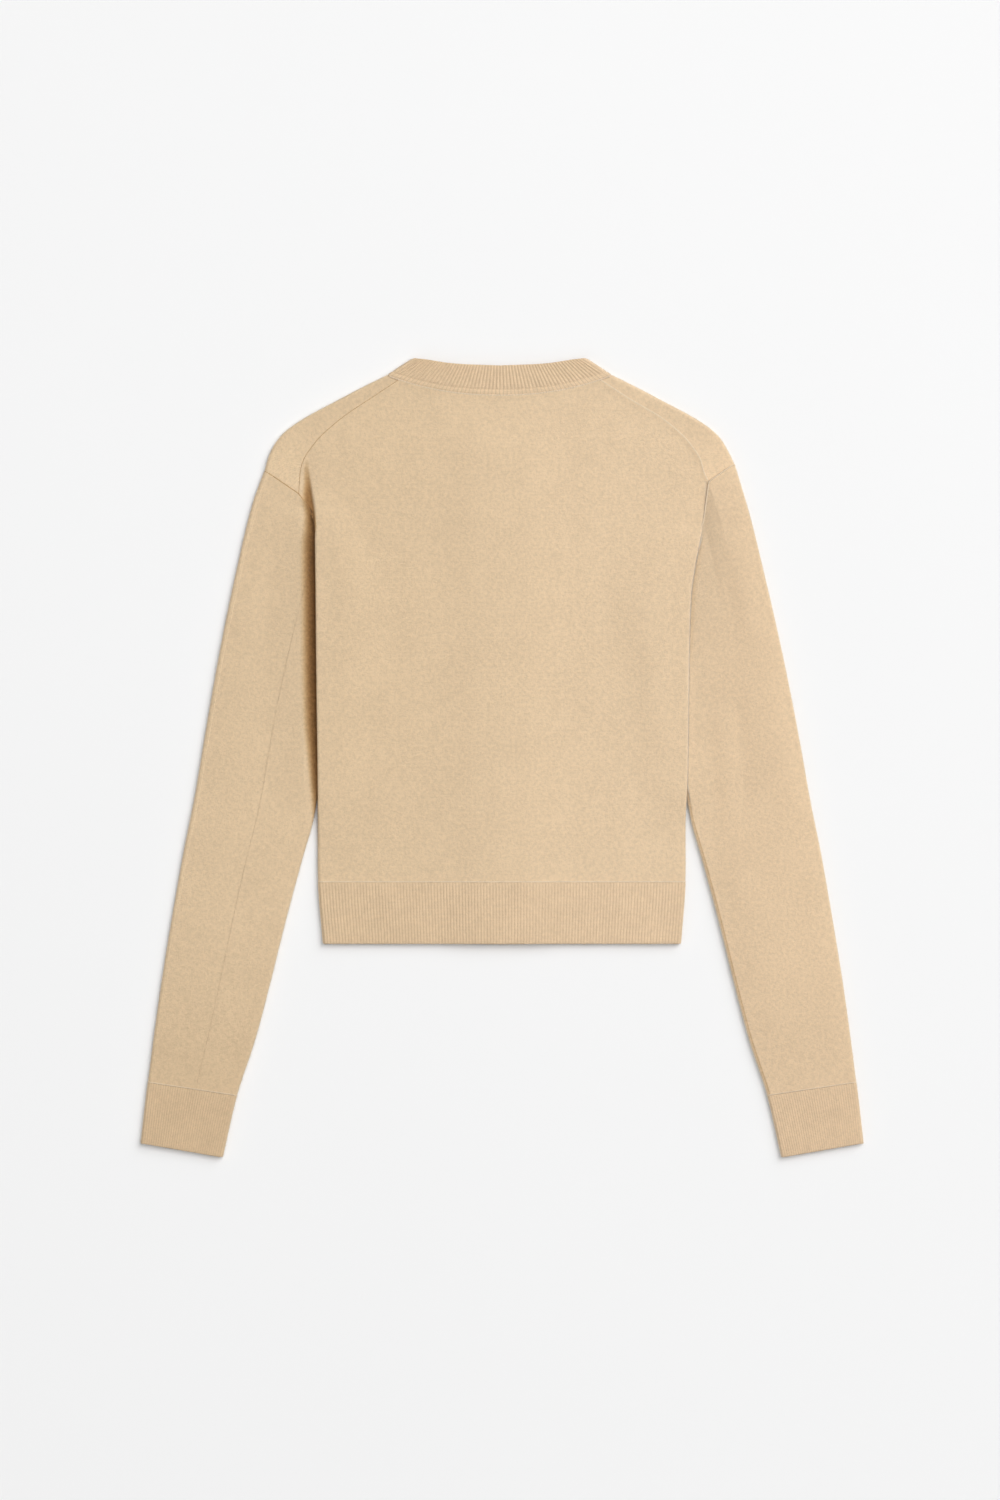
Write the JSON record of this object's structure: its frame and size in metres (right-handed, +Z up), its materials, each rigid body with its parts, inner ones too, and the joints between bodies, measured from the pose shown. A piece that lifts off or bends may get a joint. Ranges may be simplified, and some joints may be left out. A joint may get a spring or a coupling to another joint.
{
  "type": "button cardigan",
  "caption": "Cropped long-sleeved knit cardigan, buttoned and laid flat on its front, with ribbed neckband, cuffs and hem and a button band underneath.",
  "frame": {"origin": "centre of the bounding box on the surface that the garment lies on", "axes": "+Y towards the neck, +Z up from the surface, towards the back of the garment; the wearer's left side is at -X"},
  "size_m": [0.6356, 0.7021, 0.0095],
  "materials": {
    "knit": "fine milled wool stockinette, brushed nap",
    "rib": "one by one rib in the same wool",
    "button": "satin horn-coloured resin"
  },
  "bodies": {
    "root": {"back": "knit", "front_left": "knit", "front_right": "knit", "sleeve_left": "knit", "sleeve_right": "knit", "hem_rib_back": "rib", "hem_rib_front_left": "rib", "hem_rib_front_right": "rib", "cuff_left": "rib", "cuff_right": "rib", "neckband": "rib", "buttonhole_band": "rib", "button_band": "rib", "button_1": "button", "button_2": "button", "button_3": "button", "button_4": "button", "button_5": "button", "button_6": "button", "button_7": "button"}
  },
  "joints": []
}
